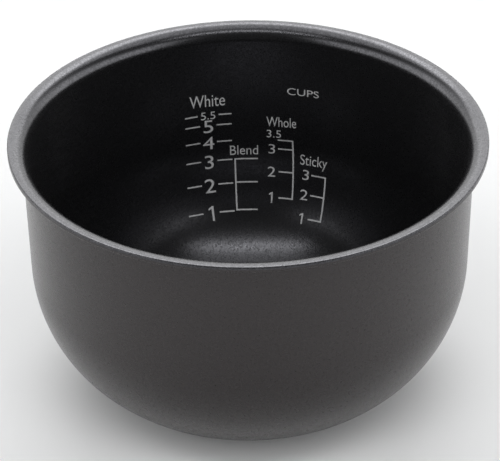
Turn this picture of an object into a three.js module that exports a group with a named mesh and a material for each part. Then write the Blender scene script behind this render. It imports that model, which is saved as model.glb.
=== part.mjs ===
// The removable inner pan of a 5.5-cup rice cooker.
//
// Units are millimetres and +Z is up. The origin is the centre of the flat base, on its underside.
// The pan is a round aluminium pressing with a curled rim. A grey coat covers its outside down to
// the bare contact face of the base, and a black non-stick lining covers its inside. Water-level
// scales are printed on the lining at +Y. Each printed mark is a thin closed solid of its own.

import * as THREE from 'three';
import { mergeVertices } from 'three/addons/utils/BufferGeometryUtils.js';

// ---- Driving dimensions -------------------------------------------------------------------------

const RIM_RADIUS = 105;             // outside of the rim
const HEIGHT = 124;                 // base to the top of the rim
const WALL = 2.55;                  // whole wall: coat, pressing and lining
const COAT = 0.25;                  // grey outer coat
const LINING = 0.25;                // black inner lining
const LAYER_GAP = 0.05;             // clearance between one layer and the next
const METAL = WALL - COAT - LINING - 2 * LAYER_GAP;

const SHOULDER_RADIUS = 98.8;       // outside of the wall just under the rim
const CURL = 7.25;                  // inside radius of the bend from the wall out to the rim's top
const DRAFT = 1.0;                  // how far the upper wall leans in
const UPPER_WALL = 59.6;            // depth of the nearly upright wall, from the rim's top
const BELLY_ARC = 68.3;             // outside radius of the long lower bend
const BELLY_TURN = 54.3;            // degrees that the long bend turns
const HEEL_ARC = 47.25;             // outside radius of the bend into the base
const HEEL_START = -88;             // degrees: where the coat begins, just outside the bare base

const TURNS = 48;                   // flats round the pan
const INK = 0.12;                   // thickness of the print
const INK_GAP = 0.05;               // clearance between the print and the lining
const STROKE = 0.7;                 // width of a printed line
const NUMERAL_LINE = 0.9;           // width of a numeral's lines
const NUMERAL_WIDTH = 0.7;          // a numeral's width as a share of its height

// ---- The wall's section -------------------------------------------------------------------------

const radians = (degrees) => THREE.MathUtils.degToRad(degrees);

// The points of an arc in the section, from one angle to another, with both ends.
function arc(centreR, centreZ, radius, from, to, steps) {
  const points = [];
  for (let i = 0; i <= steps; i += 1) {
    const angle = radians(from + ((to - from) * i) / steps);
    const r = centreR + radius * Math.cos(angle);
    points.push(new THREE.Vector2(r, centreZ + radius * Math.sin(angle)));
  }
  return points;
}

const bellyR = SHOULDER_RADIUS - DRAFT - BELLY_ARC;
const bellyZ = HEIGHT - UPPER_WALL;
const heelR = bellyR + (BELLY_ARC - HEEL_ARC) * Math.cos(radians(BELLY_TURN));
const heelZ = HEEL_ARC;
const curlR = SHOULDER_RADIUS - WALL + CURL;
const curlZ = HEIGHT - CURL;
const lipR = RIM_RADIUS - METAL / 2;

// The wall at a given depth inward from the pan's outside, from the edge of the base up to the
// outer end of the rim.
function wallAt(depth) {
  const heel = arc(heelR, heelZ, HEEL_ARC - depth, HEEL_START, -BELLY_TURN, 3);
  const belly = arc(bellyR, bellyZ, BELLY_ARC - depth, -BELLY_TURN, 0, 5);
  const curl = arc(curlR, curlZ, CURL - WALL + depth, 180, 90, 4);
  return [...heel, ...belly.slice(1), ...curl];
}

// The flat floor at a height, from the axis to the edge of the base.
function floorAt(height) {
  return [new THREE.Vector2(0, height), new THREE.Vector2(heelR, height)];
}

// The rounded outer end of a layer, from its lower side to its upper side.
function rimEnd(outerDepth, innerDepth) {
  const middle = HEIGHT - WALL + (outerDepth + innerDepth) / 2;
  const radius = (innerDepth - outerDepth) / 2;
  return arc(lipR, middle, radius, -90, 90, 2);
}

// A turned solid from its section.
function turned(section) {
  const geometry = new THREE.LatheGeometry(section, TURNS);
  geometry.rotateX(Math.PI / 2);
  return geometry;
}

// A layer of the side wall between two depths, open at the base.
function sideLayer(outerDepth, innerDepth) {
  const outer = wallAt(outerDepth);
  const inner = wallAt(innerDepth).reverse();
  return turned([...outer, ...rimEnd(outerDepth, innerDepth), ...inner, outer[0]]);
}

// A whole bowl between two depths, whose underside is flat at a height of its own.
function bowlLayer(outerDepth, innerDepth, underside) {
  const edge = new THREE.Vector2(heelR, outerDepth);
  return turned([
    ...floorAt(underside),
    ...(underside < outerDepth ? [edge] : []),
    ...wallAt(outerDepth),
    ...rimEnd(outerDepth, innerDepth),
    ...wallAt(innerDepth).reverse(),
    ...floorAt(innerDepth).reverse(),
  ]);
}

// ---- Printed marks ------------------------------------------------------------------------------

const liningSection = wallAt(WALL);

// The lining's radius at a height, along the flat facets of the turned solid.
function liningRadius(height) {
  const upper = liningSection.findIndex((point) => point.y > height);
  const a = liningSection[upper - 1];
  const b = liningSection[upper];
  const r = a.x + ((b.x - a.x) * (height - a.y)) / (b.y - a.y);
  return r * Math.cos(Math.PI / TURNS);
}

// How much height a short length up the wall gains at a height: less where the wall leans inward.
function rise(length, height) {
  const lean = Math.max(0, bellyZ - height) / (BELLY_ARC - WALL);
  return length * Math.sqrt(1 - lean * lean);
}

// A thin solid on the lining made of the filled cells of a grid. Columns are angles in degrees from
// +Y towards +X, rows are heights, and filled(column, row) says which cells are printed. Drift is
// how many degrees the columns move round for each millimetre down from the top row.
function printedGrid(columns, rows, filled, drift = 0) {
  const positions = [];
  const top = rows[rows.length - 1];
  const corner = (i, j, side) => {
    const radius = liningRadius(rows[j]) - INK_GAP - side * INK;
    const angle = radians(columns[i] + drift * (top - rows[j]));
    return [radius * Math.sin(angle), radius * Math.cos(angle), rows[j]];
  };
  const quad = (a, b, c, d) => positions.push(...a, ...b, ...c, ...a, ...c, ...d);
  const isFilled = (i, j) => i >= 0 && j >= 0 && i < columns.length - 1 && j < rows.length - 1
    && filled(i, j);
  const [BACK, FRONT] = [0, 1];
  for (let i = 0; i < columns.length - 1; i += 1) {
    for (let j = 0; j < rows.length - 1; j += 1) {
      if (!isFilled(i, j)) continue;
      const ring = [[i, j], [i + 1, j], [i + 1, j + 1], [i, j + 1]];
      quad(...ring.map(([p, q]) => corner(p, q, FRONT)));
      quad(...ring.reverse().map(([p, q]) => corner(p, q, BACK)));
      const sides = [
        [i, j - 1, [i, j], [i + 1, j]],
        [i + 1, j, [i + 1, j], [i + 1, j + 1]],
        [i, j + 1, [i + 1, j + 1], [i, j + 1]],
        [i - 1, j, [i, j + 1], [i, j]],
      ];
      for (const [nextI, nextJ, start, end] of sides) {
        if (isFilled(nextI, nextJ)) continue;
        const [a, b] = [corner(...end, FRONT), corner(...start, FRONT)];
        quad(a, b, corner(...start, BACK), corner(...end, BACK));
      }
    }
  }
  const geometry = new THREE.BufferGeometry();
  geometry.setAttribute('position', new THREE.Float32BufferAttribute(positions, 3));
  const merged = mergeVertices(geometry, 1e-4);
  merged.computeVertexNormals();
  return merged;
}

// Evenly spaced values from a to b, with both ends.
function spaced(a, b, steps) {
  return Array.from({ length: steps + 1 }, (_, i) => a + ((b - a) * i) / steps);
}

// An arc length on the lining at a height, as degrees.
function asDegrees(length, height) {
  return THREE.MathUtils.radToDeg(length / liningRadius(height));
}

// A level line from one angle to another.
function levelLine(from, to, height) {
  const half = rise(STROKE, height) / 2;
  return printedGrid(spaced(from, to, 2), [height - half, height + half], () => true);
}

// A bracket: an upright line with an arm at each level, which reaches from the upright to armEnd.
function bracket(upright, armEnd, levels, drift) {
  const ascending = [...levels].sort((a, b) => a - b);
  const half = asDegrees(STROKE, ascending[ascending.length - 1]) / 2;
  const columns = [upright - half, upright + half, armEnd].sort((a, b) => a - b);
  const armColumn = armEnd > upright ? 1 : 0;
  const rows = [];
  const armRows = new Set();
  for (const level of ascending) {
    const edge = rise(STROKE, level) / 2;
    const bottom = level - edge;
    if (rows.length > 0) rows.push(...spaced(rows[rows.length - 1], bottom, 3).slice(1, -1));
    armRows.add(rows.length);
    rows.push(bottom, level + edge);
  }
  return printedGrid(columns, rows, (i, j) => i !== armColumn || armRows.has(j), drift);
}

// Plain block numerals on a grid of three columns and five rows, the top row first.
const BLOCK_NUMERALS = {
  1: ['.#.', '.#.', '.#.', '.#.', '.#.'],
  2: ['###', '..#', '###', '#..', '###'],
  3: ['###', '..#', '###', '..#', '###'],
  4: ['#.#', '#.#', '###', '..#', '..#'],
  5: ['###', '#..', '###', '..#', '###'],
};

// A numeral centred at an angle and a height. Its own size is measured up and across the wall.
function numeral(digit, angle, middle, tall) {
  const wide = asDegrees(tall * NUMERAL_WIDTH, middle);
  const line = asDegrees(NUMERAL_LINE, middle);
  const columns = [angle - wide / 2, angle - wide / 2 + line, angle + wide / 2 - line, angle + wide / 2];
  if (digit === 1) {
    columns[1] = angle - line / 2;
    columns[2] = angle + line / 2;
  }
  const [top, bar] = [tall / 2, NUMERAL_LINE];
  const rows = [-top, bar - top, -bar / 2, bar / 2, top - bar, top];
  const heights = rows.map((up) => middle + rise(up, middle));
  const pattern = BLOCK_NUMERALS[digit];
  return printedGrid(columns, heights, (i, j) => pattern[4 - j][i] === '#');
}

// The decimal point of a half-cup numeral.
function decimalPoint(angle, height) {
  const half = asDegrees(NUMERAL_LINE / 2, height);
  return printedGrid([angle - half, angle + half], [height, height + NUMERAL_LINE], () => true);
}

// ---- Materials ----------------------------------------------------------------------------------

const aluminium = () => new THREE.MeshStandardMaterial({
  color: 0xb9babd, roughness: 0.35, metalness: 1,
});
const greyCoat = () => new THREE.MeshStandardMaterial({
  color: 0x4a4744, roughness: 0.42, metalness: 0.6,
});
const blackLining = () => new THREE.MeshStandardMaterial({
  color: 0x17171a, roughness: 0.3, metalness: 0.3,
});
const scaleInk = () => new THREE.MeshStandardMaterial({
  color: 0x8c8c8e, roughness: 0.55, metalness: 0,
});

// ---- The scales ---------------------------------------------------------------------------------

// Heights of the water levels above the base, by cups of rice.
const WHITE_LEVELS = { '5.5': 78.7, 5: 73.1, 4: 63.9, 3: 53.8, 2: 42.2, 1: 29.9 };
const MIXED_LEVELS = { 3: 53.9, 2: 42.5, 1: 30.3 };
const BROWN_LEVELS = { '3.5': 64.2, 3: 59.4, 2: 47.7, 1: 35.6 };
const STICKY_LEVELS = { 3: 47.7, 2: 38.3, 1: 28.1 };

const TICK_LENGTH = 7.3;            // length of a level line of the white-rice scale
const HALF_TICK_LENGTH = 6.2;       // the lines beside 5.5 are shorter
const WHITE_OUTER = -18.25;         // outer end of the left-hand lines at the upper wall, in degrees
const WHITE_INNER = -4.65;          // inner end of the right-hand lines, in degrees
const WHITE_SPREAD = 0.75;          // how far the left-hand lines spread as the wall narrows
const BROWN_DRIFT = 0.025;          // degrees round for each millimetre down
const STICKY_DRIFT = 0.031;
const NUMERAL_TALL = 7.0;
const NUMERAL_DROP = 0.3;           // a whole numeral's middle hangs this far below its level
const BRACKET_NUMERAL_TALL = 5.2;
const HALF_CUP_TALL = 4.2;          // numerals with a half are smaller
const HALF_CUP_RAISE = 3.5;         // beside a bracket they stand this far above their arm
const HALF_CUP_SPACING = 0.51;      // from the point to each figure's middle, as a share of height

const group = new THREE.Group();

function add(name, geometry, material) {
  const mesh = new THREE.Mesh(geometry, material);
  mesh.name = name;
  group.add(mesh);
}

// A numeral with or without a half, as separate solids: 5.5 is two figures and a point.
function addCups(prefix, cups, angle, middle, tall) {
  const name = `${prefix}_${cups.replace('.', '_')}`;
  if (!cups.includes('.')) {
    add(name, numeral(Number(cups), angle, middle, tall), scaleInk());
    return;
  }
  const [whole, half] = cups.split('.').map(Number);
  const step = asDegrees(tall * HALF_CUP_SPACING, middle);
  add(`${name}_whole`, numeral(whole, angle - step, middle, tall), scaleInk());
  add(`${name}_point`, decimalPoint(angle, middle - tall / 2), scaleInk());
  add(`${name}_half`, numeral(half, angle + step, middle, tall), scaleInk());
}

function addWhiteScale() {
  for (const [cups, height] of Object.entries(WHITE_LEVELS)) {
    const name = cups.replace('.', '_');
    const isHalf = cups.includes('.');
    const length = asDegrees(isHalf ? HALF_TICK_LENGTH : TICK_LENGTH, height);
    const narrowing = liningRadius(WHITE_LEVELS['5.5']) / liningRadius(height);
    const outer = WHITE_OUTER * narrowing ** WHITE_SPREAD;
    add(`white_line_${name}_left`, levelLine(outer, outer + length, height), scaleInk());
    add(`white_line_${name}_right`, levelLine(WHITE_INNER - length, WHITE_INNER, height), scaleInk());
    const middle = isHalf ? height : height - NUMERAL_DROP;
    const tall = isHalf ? HALF_CUP_TALL : NUMERAL_TALL;
    addCups('white_figure', cups, (outer + WHITE_INNER) / 2, middle, tall);
  }
}

function addBracket(name, levels, upright, armEnd, drift) {
  const marks = bracket(upright, armEnd, Object.values(levels), drift);
  add(`${name}_bracket`, marks, scaleInk());
}

// The numerals beside a bracket. One with a half stands above its arm instead.
function addBracketFigures(name, levels, angle) {
  for (const [cups, height] of Object.entries(levels)) {
    const isHalf = cups.includes('.');
    const middle = isHalf ? height + HALF_CUP_RAISE : height;
    const tall = isHalf ? HALF_CUP_TALL : BRACKET_NUMERAL_TALL;
    addCups(`${name}_figure`, cups, angle, middle, tall);
  }
}

// ---- The pan ------------------------------------------------------------------------------------

const bodyOuter = COAT + LAYER_GAP;
const bodyInner = WALL - LINING - LAYER_GAP;

add('outer_coating', sideLayer(0, COAT), greyCoat());
add('pan_body', bowlLayer(bodyOuter, bodyInner, 0), aluminium());
add('nonstick_lining', bowlLayer(WALL - LINING, WALL, WALL - LINING), blackLining());

addWhiteScale();
addBracket('mixed', MIXED_LEVELS, -3.85, 2.2, 0);
addBracket('brown', BROWN_LEVELS, 13.0, 8.9, BROWN_DRIFT);
addBracketFigures('brown', BROWN_LEVELS, 6.9);
addBracket('sticky', STICKY_LEVELS, 23.4, 19.4, STICKY_DRIFT);
addBracketFigures('sticky', STICKY_LEVELS, 17.3);

export default group;
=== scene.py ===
"""The inner pan of a rice cooker: fine surfaces, finishes, camera and light around the CAD frame.

Lengths are in millimetres unless a name ends in _M, and angles in degrees. Meshes are made in metres.
"""

import math

import bpy
from mathutils import Matrix, Vector


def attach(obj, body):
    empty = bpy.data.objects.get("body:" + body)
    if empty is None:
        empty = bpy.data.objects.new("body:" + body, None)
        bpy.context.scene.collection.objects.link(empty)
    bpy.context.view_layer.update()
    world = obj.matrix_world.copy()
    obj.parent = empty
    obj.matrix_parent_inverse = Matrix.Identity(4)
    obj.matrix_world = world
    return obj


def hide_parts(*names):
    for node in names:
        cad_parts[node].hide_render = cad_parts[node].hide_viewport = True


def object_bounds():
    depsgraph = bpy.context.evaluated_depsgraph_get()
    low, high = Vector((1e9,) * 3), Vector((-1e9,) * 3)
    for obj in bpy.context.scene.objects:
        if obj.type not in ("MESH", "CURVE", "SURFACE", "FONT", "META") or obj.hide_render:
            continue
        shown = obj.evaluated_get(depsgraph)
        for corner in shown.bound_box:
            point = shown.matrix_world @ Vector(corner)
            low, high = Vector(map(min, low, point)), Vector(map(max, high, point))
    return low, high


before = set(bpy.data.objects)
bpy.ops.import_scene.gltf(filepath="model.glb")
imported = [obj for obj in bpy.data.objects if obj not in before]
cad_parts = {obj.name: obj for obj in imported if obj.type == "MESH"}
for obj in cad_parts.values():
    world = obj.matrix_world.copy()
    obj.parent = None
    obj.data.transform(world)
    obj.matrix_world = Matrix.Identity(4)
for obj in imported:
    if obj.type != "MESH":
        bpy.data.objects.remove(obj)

CAD_BOX = [list(corner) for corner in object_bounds()]
MM = 0.001

# ---- Sizes of the pan: the rim and the height come from the frame -------------------------------

RIM_RADIUS = CAD_BOX[1][0] / MM
HEIGHT = CAD_BOX[1][2] / MM
SHOULDER_RADIUS = 98.8          # outside of the wall just under the rim
CURL = 7.25                     # inside radius of the bend from the wall out to the rim's top
DRAFT = 1.0                     # how far the upper wall leans in
UPPER_WALL = 59.6               # depth of the nearly upright wall
BELLY_ARC = 68.3                # outside radius of the long lower bend
BELLY_TURN = 54.3               # how far the long bend turns
HEEL_ARC = 47.25                # outside radius of the bend into the base
HEEL_START = -88.0              # the coat begins just outside the bare base
LIP_ROUND = 0.55                # radius of the two corners of the trimmed lip
WALL = 2.55                     # coat, pressing and lining together
COAT = 0.25
LINING = 0.25
LAYER_GAP = 0.05

BELLY_R = SHOULDER_RADIUS - DRAFT - BELLY_ARC
BELLY_Z = HEIGHT - UPPER_WALL
HEEL_R = BELLY_R + (BELLY_ARC - HEEL_ARC) * math.cos(math.radians(BELLY_TURN))
HEEL_Z = HEEL_ARC
CURL_R = SHOULDER_RADIUS - WALL + CURL
CURL_Z = HEIGHT - CURL

TURNS = 320                     # faces round the pan
HEEL_STEPS = 14                 # faces along each stretch of a skin's section
BELLY_STEPS = 28
UPRIGHT_STEPS = 8
CURL_STEPS = 22
LIP_STEPS = 5
BODY_FINENESS = 0.5             # the pressing is hidden by its skins, so its bends are coarser
SHARP_PAN = 35.0                # edges that turn more than this are shaded sharp
SHARP_PRINT = 40.0

# ---- Sizes of the print -------------------------------------------------------------------------

INK_BACK = 0.012                # clearance between the lining and the print
INK_FRONT = 0.05                # from the lining to the face of the print
STROKE = 0.70                   # width of a printed line
LINE_STEPS = 8                  # cells along a level line
BRACKET_STEPS = 6               # cells along a bracket's arm, and between two arms

# Heights of the levels above the base, by the number of cups.
WHITE_LEVELS = {"5.5": 78.7, "5": 73.1, "4": 63.9, "3": 53.8, "2": 42.2, "1": 29.9}
MIXED_LEVELS = {"3": 53.9, "2": 42.5, "1": 30.3}
BROWN_LEVELS = {"3.5": 64.2, "3": 59.4, "2": 47.7, "1": 35.6}
STICKY_LEVELS = {"3": 47.7, "2": 38.3, "1": 28.1}

# Angles round the pan are measured from +Y towards +X.
WHITE_OUTER = -18.25            # left-hand ends of the white scale's lines, at 5.5
WHITE_INNER = -4.65             # right-hand ends of its lines
WHITE_SPREAD = 0.75             # power of the wall's narrowing by which the left-hand lines spread
MIXED_UPRIGHT, MIXED_ARMS = -3.85, 2.2
BROWN_UPRIGHT, BROWN_ARMS, BROWN_FIGURES = 13.0, 8.9, 6.9
STICKY_UPRIGHT, STICKY_ARMS, STICKY_FIGURES = 23.4, 19.4, 17.3
BROWN_DRIFT = 0.025             # degrees round for each millimetre down
STICKY_DRIFT = 0.031

TICK_LENGTH = 7.3
HALF_TICK_LENGTH = 6.2
FIGURE = 7.2                    # height of the white scale's whole figures
FIGURE_DROP = 0.3               # their middle stands this far under the level
SMALL_FIGURE = 5.3              # height of the brackets' whole figures
HALF_FIGURE = 4.3               # figures with a half are smaller
HALF_RAISE = 3.5                # how far the brown scale's 3.5 stands above its arm
HALF_SHIFT = 0.6                # degrees from the whole figures' middle to the half's
FIGURE_STRETCH = 1.22           # width of the figures, relative to the built-in font's
HALF_STRETCH = 1.08
CAPITAL_HEIGHT = 0.729          # height of a capital in the built-in font, for a size of 1
FONT_CURVE_STEPS = 6

HEADINGS = (                    # name, word, height and width, angle and height of its middle
    ("heading_white", "White", 6.8, 17.2, -11.6, 86.9),
    ("heading_blend", "Blend", 5.3, 13.6, -1.2, 58.7),
    ("heading_whole", "Whole", 5.6, 14.4, 9.7, 74.4),
    ("heading_sticky", "Sticky", 5.6, 13.6, 19.5, 55.2),
    ("heading_cups", "CUPS", 3.8, 15.6, 16.0, 91.5),
)

# ---- Finishes: colours are linear, and the scales of flakes, patches and rings are per metre ----

COAT_DARK, COAT_PALE = (0.0075, 0.0064, 0.0064), (0.0095, 0.0080, 0.0080)
COAT_FLAKES = 2600.0
COAT_ROUGHNESS, COAT_UNEVEN = 0.27, 0.01
COAT_PATCHES = 900.0
COAT_IOR = 1.54
COAT_GLOSS_TINT = (1.0, 0.94, 0.95)

LINING_DARK, LINING_PALE = (0.0080, 0.0080, 0.0085), (0.012, 0.012, 0.013)
LINING_FLAKES = 1900.0
LINING_DULL, LINING_BRIGHT = 0.40, 0.64     # reflection of the dullest and the brightest flake
LINING_ROUGHEST, LINING_SMOOTHEST = 0.28, 0.19
LINING_IOR = 1.6
LINING_GLOSS_TINT = (0.93, 0.93, 1.0)
LINING_GRAIN, LINING_GRAIN_DETAIL = 1600.0, 3.0
LINING_BUMP, LINING_BUMP_DEPTH = 0.08, 0.03

ALUMINIUM = (0.60, 0.60, 0.61)
ALUMINIUM_SMOOTH, ALUMINIUM_ROUGH = 0.28, 0.40
TURNED_RINGS, RING_WOBBLE = 420.0, 1.5
RING_BUMP, RING_DEPTH = 0.25, 0.02

INK_DARK, INK_PALE = (0.56, 0.56, 0.57), (0.70, 0.70, 0.71)
INK_PATCHES = 1200.0
INK_ROUGHNESS = 0.55

FLOOR_DARK, FLOOR_PALE = (0.855, 0.86, 0.865), (0.865, 0.87, 0.875)
FLOOR_PATCHES = 3.0
FLOOR_ROUGHNESS = 0.9
FLOOR_REFLECTION = 0.1
NOISE_LOW, NOISE_HIGH = 0.3, 0.7            # the range that most of a noise texture keeps to
DULL_FLAKE, BRIGHT_FLAKE = 0.25, 0.80       # flakes run from 0 to 1

# ---- Studio -------------------------------------------------------------------------------------

CAMERA_REACH = 10.40            # from the rim's centre, in rim radii
CAMERA_ELEVATION = 30.77        # above the rim's plane
CAMERA_TILT = -2.2166           # the view is aimed below the rim's centre
CAMERA_PAN = 0.019              # and a little to its right
CAMERA_ROLL = -0.71
LENS = 180.0
SENSOR = 36.0
NEAR_CLIP_M = 0.05

FLOOR_HALF_M = 6.0
FLOOR_Z_M = -0.0001             # just under the base, so that the two faces don't coincide
LIGHT_AIM_M = 0.06              # the lights face the middle of the pan's height

DARK_ROOM = 0.06                # brightness of the room in front of the pan
PALE_WALLS = 0.20               # how much brighter it is behind
LOW_CARDS = 2.5                 # brightness that the low white cards add at the sides
BACK_LOSS = 0.55                # what they lack of it behind the pan
PALE_SPAN = (-0.1, 0.5)         # where the room turns pale, by the Y of a direction
CARD_TOPS = (0.62, 0.40)        # where the cards begin, by its Z, going down
CARD_FRONTS = (-0.85, -0.60)    # where they begin at the front, by its Y
CARD_BACKS = (0.20, 0.75)       # where they grow weaker behind, by its Y


def make_camera():
    centre = Vector((0.0, 0.0, HEIGHT * MM))
    elevation = math.radians(CAMERA_ELEVATION)
    away = Vector((0.0, -math.cos(elevation), math.sin(elevation)))
    data = bpy.data.cameras.new("camera")
    data.lens = LENS
    data.sensor_width = SENSOR
    data.clip_start = NEAR_CLIP_M
    camera = bpy.data.objects.new("camera", data)
    bpy.context.collection.objects.link(camera)
    right = Vector((1.0, 0.0, 0.0))
    up = right.cross(-away)
    aim = -away + right * math.radians(CAMERA_PAN) + up * math.radians(CAMERA_TILT)
    turn = aim.to_track_quat("-Z", "Y").to_matrix().to_4x4()
    roll = Matrix.Rotation(math.radians(CAMERA_ROLL), 4, "Z")
    position = Matrix.Translation(centre + away * CAMERA_REACH * RIM_RADIUS * MM)
    camera.matrix_world = position @ turn @ roll
    bpy.context.scene.camera = camera


# ---- The wall's section -------------------------------------------------------------------------

def arc(centre_r, centre_z, radius, start, end, steps):
    """Points (r, z) along an arc of the section, with both ends."""
    points = []
    for i in range(steps + 1):
        angle = math.radians(start + (end - start) * i / steps)
        points.append((centre_r + radius * math.cos(angle), centre_z + radius * math.sin(angle)))
    return points


def wall_at(depth, fineness=1.0):
    """The wall at a depth inward from the pan's outside, from the edge of the base to the lip."""
    def bend(centre_r, centre_z, radius, start, end, steps):
        return arc(centre_r, centre_z, radius, start, end, round(steps * fineness))

    heel = bend(HEEL_R, HEEL_Z, HEEL_ARC - depth, HEEL_START, -BELLY_TURN, HEEL_STEPS)
    belly = bend(BELLY_R, BELLY_Z, BELLY_ARC - depth, -BELLY_TURN, 0.0, BELLY_STEPS)
    upright = []
    for i in range(1, UPRIGHT_STEPS):
        part = i / UPRIGHT_STEPS
        radius = SHOULDER_RADIUS - depth - DRAFT * (1 - part)
        upright.append((radius, BELLY_Z + (CURL_Z - BELLY_Z) * part))
    curl = bend(CURL_R, CURL_Z, CURL - WALL + depth, 180.0, 90.0, CURL_STEPS)
    return heel + belly[1:] + upright + curl


def lower_lip(depth):
    """The lip's lower corner up to half its height, on the line a given depth inside the skin."""
    corner_z = HEIGHT - WALL + LIP_ROUND
    corner = arc(RIM_RADIUS - LIP_ROUND, corner_z, LIP_ROUND - depth, -90.0, 0.0, LIP_STEPS)
    return corner + [(RIM_RADIUS - depth, HEIGHT - WALL / 2)]


def upper_lip(depth):
    """The lip from half its height over its upper corner, on the line a given depth inside."""
    corner_z = HEIGHT - LIP_ROUND
    corner = arc(RIM_RADIUS - LIP_ROUND, corner_z, LIP_ROUND - depth, 0.0, 90.0, LIP_STEPS)
    return [(RIM_RADIUS - depth, HEIGHT - WALL / 2)] + corner


def lining_point(distance):
    """(r, z) on the lining, at a distance up its section from the edge of the flat floor."""
    heel = HEEL_ARC - WALL
    belly = BELLY_ARC - WALL
    heel_turn = math.radians(90.0 - BELLY_TURN)
    belly_turn = math.radians(BELLY_TURN)
    if distance < heel * heel_turn:
        angle = -math.pi / 2 + distance / heel
        return HEEL_R + heel * math.cos(angle), HEEL_Z + heel * math.sin(angle)
    distance -= heel * heel_turn
    if distance < belly * belly_turn:
        angle = -belly_turn + distance / belly
        return BELLY_R + belly * math.cos(angle), BELLY_Z + belly * math.sin(angle)
    distance -= belly * belly_turn
    lean = DRAFT / (CURL_Z - BELLY_Z)
    return BELLY_R + belly + distance * lean, BELLY_Z + distance


def distance_at(height):
    """How far up the lining's section a height above the base is, by halving the range."""
    low, high = 0.0, 200.0
    for _ in range(40):
        middle = (low + high) / 2
        if lining_point(middle)[1] < height:
            low = middle
        else:
            high = middle
    return low


def radius_at(height):
    return lining_point(distance_at(height))[0]


# ---- Meshes -------------------------------------------------------------------------------------

def add_mesh(name, vertices, faces, material, sharp):
    mesh = bpy.data.meshes.new(name)
    mesh.from_pydata([[c * MM for c in v] for v in vertices], [], faces)
    mesh.validate()
    mesh.update()
    mesh.polygons.foreach_set("use_smooth", [True] * len(mesh.polygons))
    mesh.materials.append(material)
    piece = bpy.data.objects.new(name, mesh)
    bpy.context.collection.objects.link(piece)
    mesh.set_sharp_from_angle(angle=math.radians(sharp))
    return piece


def turned(name, section, material):
    """A solid of revolution. The section runs anticlockwise, either closed or from axis to axis."""
    vertices, rings = [], []
    for r, z in section:
        if r == 0.0:
            rings.append([len(vertices)])
            vertices.append((0.0, 0.0, z))
            continue
        rings.append(list(range(len(vertices), len(vertices) + TURNS)))
        for k in range(TURNS):
            angle = 2 * math.pi * k / TURNS
            vertices.append((r * math.cos(angle), r * math.sin(angle), z))
    pairs = list(zip(rings, rings[1:]))
    if len(rings[0]) > 1:
        pairs.append((rings[-1], rings[0]))
    faces = []
    for lower, upper in pairs:
        for k in range(TURNS):
            n = (k + 1) % TURNS
            if len(lower) == 1:
                faces.append((lower[0], upper[n], upper[k]))
            elif len(upper) == 1:
                faces.append((lower[k], lower[n], upper[0]))
            else:
                faces.append((lower[k], lower[n], upper[n], upper[k]))
    return add_mesh(name, vertices, faces, material, SHARP_PAN)


def on_lining(across, up, middle_angle, middle_distance, proud):
    """A point of the print, at lengths across and up the lining from the print's middle."""
    step = 0.1
    r, z = lining_point(middle_distance + up)
    below = lining_point(middle_distance + up - step)
    slope_r, slope_z = (r - below[0]) / step, (z - below[1]) / step
    r_face, z_face = r - slope_z * proud, z + slope_r * proud
    angle = math.radians(middle_angle) + across / lining_point(middle_distance)[0]
    return (r_face * math.sin(angle), r_face * math.cos(angle), z_face)


def printed_cells(name, columns, rows, filled, angle, distance, material, drift=0.0):
    """A thin printed shape made of the filled cells of a grid laid on the lining.

    Drift is how many degrees the shape moves round for each millimetre down from its top row.
    """
    vertices, index, faces = [], {}, []

    def vertex(i, j, front):
        key = (i, j, front)
        if key not in index:
            index[key] = len(vertices)
            proud = INK_FRONT if front else INK_BACK
            turned_by = angle + drift * (rows[-1] - rows[j])
            vertices.append(on_lining(columns[i], rows[j], turned_by, distance, proud))
        return index[key]

    def is_filled(i, j):
        return 0 <= i < len(columns) - 1 and 0 <= j < len(rows) - 1 and filled(i, j)

    for i in range(len(columns) - 1):
        for j in range(len(rows) - 1):
            if not is_filled(i, j):
                continue
            ring = [(i, j), (i + 1, j), (i + 1, j + 1), (i, j + 1)]
            faces.append([vertex(p, q, True) for p, q in ring])
            faces.append([vertex(p, q, False) for p, q in reversed(ring)])
            beside = [(i, j - 1), (i + 1, j), (i, j + 1), (i - 1, j)]
            for side, neighbour in enumerate(beside):
                if is_filled(*neighbour):
                    continue
                a, b = ring[side], ring[(side + 1) % 4]
                faces.append([vertex(*b, True), vertex(*a, True), vertex(*a, False), vertex(*b, False)])
    return add_mesh(name, vertices, faces, material, SHARP_PRINT)


def font_outline(words):
    """Flat points and faces of words in the built-in font. Capitals are 1 tall and start at 0."""
    curve = bpy.data.curves.new("outline", "FONT")
    curve.body = words
    curve.resolution_u = FONT_CURVE_STEPS
    outline = bpy.data.objects.new("outline", curve)
    bpy.context.collection.objects.link(outline)
    bpy.context.view_layer.update()
    settled = outline.evaluated_get(bpy.context.evaluated_depsgraph_get())
    flat = bpy.data.meshes.new_from_object(settled)
    bpy.data.objects.remove(outline)
    points = [(v.co.x / CAPITAL_HEIGHT, v.co.y / CAPITAL_HEIGHT) for v in flat.vertices]
    faces = [list(p.vertices) for p in flat.polygons]
    bpy.data.meshes.remove(flat)
    return points, faces


def figure_one():
    """A plain figure 1 with a short flag, 1 tall. The built-in font's 1 reads as a bar."""
    stem, neck, flag, drop, thick = 0.115, 0.092, 0.17, 0.16, 0.12
    tip = -stem - flag
    upright = [(-stem, 0.0), (0.0, 0.0), (0.0, 1.0), (-neck, 1.0)]
    slope = [(tip, 1.0 - drop), (tip, 1.0 - drop - thick), (-stem, 1.0 - thick - drop / 3)]
    return upright + slope, [[0, 1, 2, 3, 6], [3, 4, 5, 6]]


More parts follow.
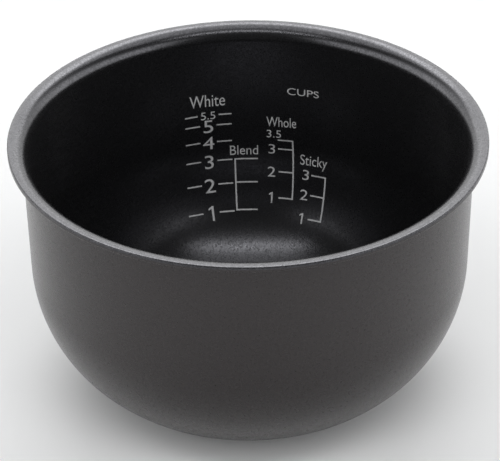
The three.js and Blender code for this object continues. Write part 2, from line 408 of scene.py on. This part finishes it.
def printed_text(name, words, tall, angle, height, material, wide=None, stretch=1.0):
    """Letters or figures printed on the lining, with their middle at an angle and a height.

    Wide is their whole width. Without it they have the font's width times the stretch.
    """
    points, faces = figure_one() if words == "1" else font_outline(words)
    xs = [x for x, _ in points]
    middle_x = (min(xs) + max(xs)) / 2
    across = wide / (max(xs) - min(xs)) if wide else tall * stretch
    count = len(points)
    distance = distance_at(height)
    places = [((x - middle_x) * across, (y - 0.5) * tall) for x, y in points]
    vertices = [on_lining(x, y, angle, distance, INK_FRONT) for x, y in places]
    vertices += [on_lining(x, y, angle, distance, INK_BACK) for x, y in places]
    edges = {(a, b) for face in faces for a, b in zip(face, face[1:] + face[:1])}
    walls = [(b, a, a + count, b + count) for a, b in sorted(edges) if (b, a) not in edges]
    backs = [[k + count for k in reversed(face)] for face in faces]
    return add_mesh(name, vertices, faces + backs + walls, material, SHARP_PRINT)


def place(piece, slot, *nodes):
    """The piece rides on the pan and stands for CAD nodes, if any are named. The slot is not used."""
    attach(piece, "root")
    if nodes:
        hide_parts(*nodes)


# ---- Materials ----------------------------------------------------------------------------------

def new_material(name):
    """A material with its nodes and links, its shader and the pan's or the room's own coordinates."""
    material = bpy.data.materials.new(name)
    material.use_nodes = True
    nodes = material.node_tree.nodes
    position = nodes.new("ShaderNodeTexCoord").outputs["Object"]
    return material, nodes, material.node_tree.links, nodes["Principled BSDF"], position


def noise(nodes, links, vector, scale, detail=2.0):
    node = nodes.new("ShaderNodeTexNoise")
    node.inputs["Scale"].default_value = scale
    node.inputs["Detail"].default_value = detail
    links.new(vector, node.inputs["Vector"])
    return node.outputs["Fac"]


def flakes(nodes, links, vector, scale):
    """Small cells, each of one random brightness."""
    node = nodes.new("ShaderNodeTexVoronoi")
    node.inputs["Scale"].default_value = scale
    links.new(vector, node.inputs["Vector"])
    return node.outputs["Color"]


def remap(nodes, links, value, low, high, to_low, to_high):
    node = nodes.new("ShaderNodeMapRange")
    node.inputs["From Min"].default_value = low
    node.inputs["From Max"].default_value = high
    node.inputs["To Min"].default_value = to_low
    node.inputs["To Max"].default_value = to_high
    links.new(value, node.inputs["Value"])
    return node.outputs["Result"]


def mix_colour(nodes, links, factor, first, second):
    node = nodes.new("ShaderNodeMix")
    node.data_type = "RGBA"
    node.inputs["A"].default_value = (*first, 1.0)
    node.inputs["B"].default_value = (*second, 1.0)
    links.new(factor, node.inputs["Factor"])
    return node.outputs["Result"]


def bump(nodes, links, height, strength, depth, shader):
    node = nodes.new("ShaderNodeBump")
    node.inputs["Strength"].default_value = strength
    node.inputs["Distance"].default_value = depth * MM
    links.new(height, node.inputs["Height"])
    links.new(node.outputs["Normal"], shader.inputs["Normal"])


def grey_coat_material():
    """Satin warm-grey paint with a fine metallic flake."""
    material, nodes, links, shader, position = new_material("grey_coat")
    flake = flakes(nodes, links, position, COAT_FLAKES)
    fleck = remap(nodes, links, flake, DULL_FLAKE, 1.0, 0.0, 1.0)
    links.new(mix_colour(nodes, links, fleck, COAT_DARK, COAT_PALE), shader.inputs["Base Color"])
    patchy = noise(nodes, links, position, COAT_PATCHES)
    roughness = remap(nodes, links, patchy, NOISE_LOW, NOISE_HIGH,
                      COAT_ROUGHNESS - COAT_UNEVEN, COAT_ROUGHNESS + COAT_UNEVEN)
    links.new(roughness, shader.inputs["Roughness"])
    shader.inputs["IOR"].default_value = COAT_IOR
    shader.inputs["Specular Tint"].default_value = (*COAT_GLOSS_TINT, 1.0)
    return material


def lining_material():
    """Black non-stick coating with fine mica flecks, of which the brightest are the smoothest."""
    material, nodes, links, shader, position = new_material("black_lining")
    flake = flakes(nodes, links, position, LINING_FLAKES)
    fleck = remap(nodes, links, flake, BRIGHT_FLAKE, 1.0, 0.0, 1.0)
    reflection = remap(nodes, links, flake, DULL_FLAKE, BRIGHT_FLAKE, LINING_DULL, LINING_BRIGHT)
    roughness = remap(nodes, links, flake, 0.2, 0.9, LINING_ROUGHEST, LINING_SMOOTHEST)
    links.new(reflection, shader.inputs["Specular IOR Level"])
    links.new(mix_colour(nodes, links, fleck, LINING_DARK, LINING_PALE), shader.inputs["Base Color"])
    links.new(roughness, shader.inputs["Roughness"])
    shader.inputs["IOR"].default_value = LINING_IOR
    shader.inputs["Specular Tint"].default_value = (*LINING_GLOSS_TINT, 1.0)
    grain = noise(nodes, links, position, LINING_GRAIN, LINING_GRAIN_DETAIL)
    bump(nodes, links, grain, LINING_BUMP, LINING_BUMP_DEPTH, shader)
    return material


def aluminium_material():
    """Bare pressed aluminium with fine turned rings, seen only on the base."""
    material, nodes, links, shader, position = new_material("aluminium")
    shader.inputs["Base Color"].default_value = (*ALUMINIUM, 1.0)
    shader.inputs["Metallic"].default_value = 1.0
    rings = nodes.new("ShaderNodeTexWave")
    rings.wave_type = "RINGS"
    rings.rings_direction = "Z"
    rings.inputs["Scale"].default_value = TURNED_RINGS
    rings.inputs["Distortion"].default_value = RING_WOBBLE
    links.new(position, rings.inputs["Vector"])
    ring = rings.outputs["Fac"]
    roughness = remap(nodes, links, ring, 0.0, 1.0, ALUMINIUM_SMOOTH, ALUMINIUM_ROUGH)
    links.new(roughness, shader.inputs["Roughness"])
    bump(nodes, links, ring, RING_BUMP, RING_DEPTH, shader)
    return material


def ink_material():
    """Matt pale-grey print, a little uneven where it lies on the flaked lining."""
    material, nodes, links, shader, position = new_material("scale_print")
    patchy = noise(nodes, links, position, INK_PATCHES)
    fleck = remap(nodes, links, patchy, NOISE_LOW, NOISE_HIGH, 0.0, 1.0)
    links.new(mix_colour(nodes, links, fleck, INK_DARK, INK_PALE), shader.inputs["Base Color"])
    shader.inputs["Roughness"].default_value = INK_ROUGHNESS
    return material


def floor_material():
    material, nodes, links, shader, position = new_material("studio_floor")
    patchy = noise(nodes, links, position, FLOOR_PATCHES)
    links.new(mix_colour(nodes, links, patchy, FLOOR_DARK, FLOOR_PALE), shader.inputs["Base Color"])
    shader.inputs["Roughness"].default_value = FLOOR_ROUGHNESS
    shader.inputs["Specular IOR Level"].default_value = FLOOR_REFLECTION
    return material


# ---- The pan ------------------------------------------------------------------------------------

def make_pan():
    body_outside = COAT + LAYER_GAP
    lining_outside = WALL - LINING
    body_inside = lining_outside - LAYER_GAP

    coat = wall_at(0.0) + lower_lip(0.0) + lower_lip(COAT)[::-1] + wall_at(COAT)[::-1]
    place(turned("outer_coat", coat, grey_coat_material()), "grey_coat", "outer_coating")

    body = [(0.0, 0.0), (HEEL_R, 0.0), (HEEL_R, body_outside)]
    body += wall_at(body_outside, BODY_FINENESS) + lower_lip(body_outside)
    body += upper_lip(body_outside)[1:] + wall_at(body_inside, BODY_FINENESS)[::-1]
    body += [(HEEL_R, body_inside), (0.0, body_inside)]
    place(turned("pressed_body", body, aluminium_material()), "aluminium", "pan_body")

    lining = [(0.0, lining_outside), (HEEL_R, lining_outside)] + wall_at(lining_outside)
    lining += upper_lip(LINING)[::-1] + upper_lip(0.0) + wall_at(WALL)[::-1]
    lining += [(HEEL_R, WALL), (0.0, WALL)]
    place(turned("lining", lining, lining_material()), "black_lining", "nonstick_lining")


# ---- The printed scales -------------------------------------------------------------------------

def spaced(start, end, steps):
    return [start + (end - start) * i / steps for i in range(steps + 1)]


def level_line(name, start, length, height, ink):
    columns = spaced(0.0, length, LINE_STEPS)
    rows = [-STROKE / 2, STROKE / 2]
    return printed_cells(name, columns, rows, lambda i, j: True, start, distance_at(height), ink)


def bracket(name, upright, arm_end, levels, drift, ink):
    """An upright line with an arm at each level, following the curve of the wall."""
    heights = sorted(levels.values())
    bottom = distance_at(heights[0])
    reach = math.radians(arm_end - upright) * radius_at(heights[-1])
    upright_edges = [-STROKE / 2, STROKE / 2]
    if reach > 0:
        columns = upright_edges + spaced(STROKE / 2, reach, BRACKET_STEPS)[1:]
    else:
        columns = spaced(reach, -STROKE / 2, BRACKET_STEPS)[:-1] + upright_edges
    upright_column = columns.index(-STROKE / 2)
    rows, arm_rows = [], set()
    for height in heights:
        low = distance_at(height) - bottom - STROKE / 2
        if rows:
            rows += spaced(rows[-1], low, BRACKET_STEPS)[1:-1]
        arm_rows.add(len(rows))
        rows += [low, low + STROKE]

    def filled(i, j):
        return i == upright_column or j in arm_rows

    return printed_cells(name, columns, rows, filled, upright, bottom, ink, drift)


def figure_nodes(node, cups):
    """The CAD nodes of a figure. One with a half has three: the whole, the point and the half."""
    return [f"{node}_{part}" for part in ("whole", "point", "half")] if "." in cups else [node]


def make_white_scale(ink):
    for cups, height in WHITE_LEVELS.items():
        level = cups.replace(".", "_")
        is_half = "." in cups
        length = HALF_TICK_LENGTH if is_half else TICK_LENGTH
        narrowing = radius_at(WHITE_LEVELS["5.5"]) / radius_at(height)
        outer = WHITE_OUTER * narrowing ** WHITE_SPREAD
        inner = WHITE_INNER - math.degrees(length / radius_at(height))
        for side, start in (("left", outer), ("right", inner)):
            line = level_line(f"line_{level}_{side}", start, length, height, ink)
            place(line, "scale_print", f"white_line_{level}_{side}")
        tall = HALF_FIGURE if is_half else FIGURE
        middle = height if is_half else height - FIGURE_DROP
        stretch = HALF_STRETCH if is_half else FIGURE_STRETCH
        figure = printed_text(f"figure_{level}", cups, tall, (outer + WHITE_INNER) / 2, middle, ink,
                              stretch=stretch)
        place(figure, "scale_print", *figure_nodes(f"white_figure_{level}", cups))


def make_bracket_scale(prefix, levels, upright, arm_end, drift, ink):
    marks = bracket(f"{prefix}_levels", upright, arm_end, levels, drift, ink)
    place(marks, "scale_print", f"{prefix}_bracket")


def make_bracket_figures(prefix, levels, angle, ink):
    for cups, height in levels.items():
        node = f"{prefix}_figure_{cups.replace('.', '_')}"
        is_half = "." in cups
        tall = HALF_FIGURE if is_half else SMALL_FIGURE
        middle = height + HALF_RAISE if is_half else height
        across = angle + HALF_SHIFT if is_half else angle
        stretch = HALF_STRETCH if is_half else FIGURE_STRETCH
        figure = printed_text(f"printed_{node}", cups, tall, across, middle, ink, stretch=stretch)
        place(figure, "scale_print", *figure_nodes(node, cups))


def make_scales():
    ink = ink_material()
    make_white_scale(ink)
    make_bracket_scale("mixed", MIXED_LEVELS, MIXED_UPRIGHT, MIXED_ARMS, 0.0, ink)
    make_bracket_scale("brown", BROWN_LEVELS, BROWN_UPRIGHT, BROWN_ARMS, BROWN_DRIFT, ink)
    make_bracket_scale("sticky", STICKY_LEVELS, STICKY_UPRIGHT, STICKY_ARMS, STICKY_DRIFT, ink)
    make_bracket_figures("brown", BROWN_LEVELS, BROWN_FIGURES, ink)
    make_bracket_figures("sticky", STICKY_LEVELS, STICKY_FIGURES, ink)
    for name, word, tall, wide, angle, height in HEADINGS:
        place(printed_text(name, word, tall, angle, height, ink, wide), "scale_print")


# ---- Floor, lights and room ---------------------------------------------------------------------

def make_floor():
    mesh = bpy.data.meshes.new("studio_floor")
    signs = [(-1, -1), (1, -1), (1, 1), (-1, 1)]
    corners = [(x * FLOOR_HALF_M, y * FLOOR_HALF_M, FLOOR_Z_M) for x, y in signs]
    mesh.from_pydata(corners, [], [(0, 1, 2, 3)])
    mesh.materials.append(floor_material())
    floor = bpy.data.objects.new("studio_floor", mesh)
    bpy.context.collection.objects.link(floor)


def softbox(name, azimuth, elevation, distance_m, width_m, height_m, radiance, shape="RECTANGLE"):
    """A flat light facing the pan. Azimuth is measured from +Y, behind the pan, towards +X."""
    turn, rise = math.radians(azimuth), math.radians(elevation)
    target = Vector((0.0, 0.0, LIGHT_AIM_M))
    level = math.cos(rise)
    offset = Vector((math.sin(turn) * level, math.cos(turn) * level, math.sin(rise)))
    data = bpy.data.lights.new(name, "AREA")
    data.shape = shape
    data.size, data.size_y = width_m, height_m
    data.energy = radiance * math.pi * width_m * height_m
    light = bpy.data.objects.new(name, data)
    bpy.context.collection.objects.link(light)
    light.location = target + offset * distance_m
    light.rotation_euler = (-offset).to_track_quat("-Z", "Y").to_euler()
    return light


def make_lights():
    """Four lights brighten and reflect, two only reflect and one only brightens the front.

    Each has its azimuth, elevation and distance, its width and height, and its brightness.
    """
    behind, in_front = 0.0, 180.0
    softbox("back_low_box", behind, 30.0, 2.4, 2.6, 0.8, 1.85)
    softbox("back_high_box", behind, 52.0, 2.4, 2.0, 1.0, 3.1)
    softbox("top_front_box", in_front, 70.5, 2.2, 2.0, 0.36, 0.8)
    softbox("front_top_box", in_front, 62.0, 2.0, 2.3, 0.21, 5.2, "ELLIPSE")
    for glow in (softbox("rim_high_glow", behind, 49.0, 2.4, 2.4, 0.8, 2.6),
                 softbox("rim_top_glow", behind, 74.0, 2.2, 3.0, 2.0, 2.0)):
        glow.visible_diffuse = False
    fill = softbox("front_fill", in_front, 60.0, 2.6, 3.0, 1.4, 1.1)
    fill.visible_glossy = False


def world_term(nodes, links, direction, axis, span, strength, least=0.0):
    """Light that grows smoothly by a strength as one axis of the direction crosses a span."""
    split = nodes.new("ShaderNodeSeparateXYZ")
    links.new(direction, split.inputs["Vector"])
    term = remap(nodes, links, split.outputs[axis], *span, least, least + strength)
    term.node.interpolation_type = "SMOOTHSTEP"
    return term


def combine(nodes, links, operation, first, second):
    node = nodes.new("ShaderNodeMath")
    node.operation = operation
    links.new(first, node.inputs[0])
    links.new(second, node.inputs[1])
    return node.outputs["Value"]


def make_world():
    """A dark room that is pale behind the pan, with low white cards at the sides and behind."""
    world = bpy.data.worlds.new("studio")
    world.use_nodes = True
    nodes, links = world.node_tree.nodes, world.node_tree.links
    direction = nodes.new("ShaderNodeTexCoord").outputs["Generated"]
    room = world_term(nodes, links, direction, "Y", PALE_SPAN, PALE_WALLS, DARK_ROOM)
    low = world_term(nodes, links, direction, "Z", CARD_TOPS, LOW_CARDS)
    not_in_front = world_term(nodes, links, direction, "Y", CARD_FRONTS, 1.0)
    behind = world_term(nodes, links, direction, "Y", CARD_BACKS, BACK_LOSS)
    round_about = combine(nodes, links, "SUBTRACT", not_in_front, behind)
    cards = combine(nodes, links, "MULTIPLY", low, round_about)
    level = combine(nodes, links, "ADD", room, cards)
    nodes["Background"].inputs["Color"].default_value = (1.0, 1.0, 1.0, 1.0)
    links.new(level, nodes["Background"].inputs["Strength"])
    bpy.context.scene.world = world
    bpy.context.scene.view_settings.view_transform = "Standard"


def main():
    make_camera()
    make_pan()
    make_scales()
    make_floor()
    make_lights()
    make_world()


main()
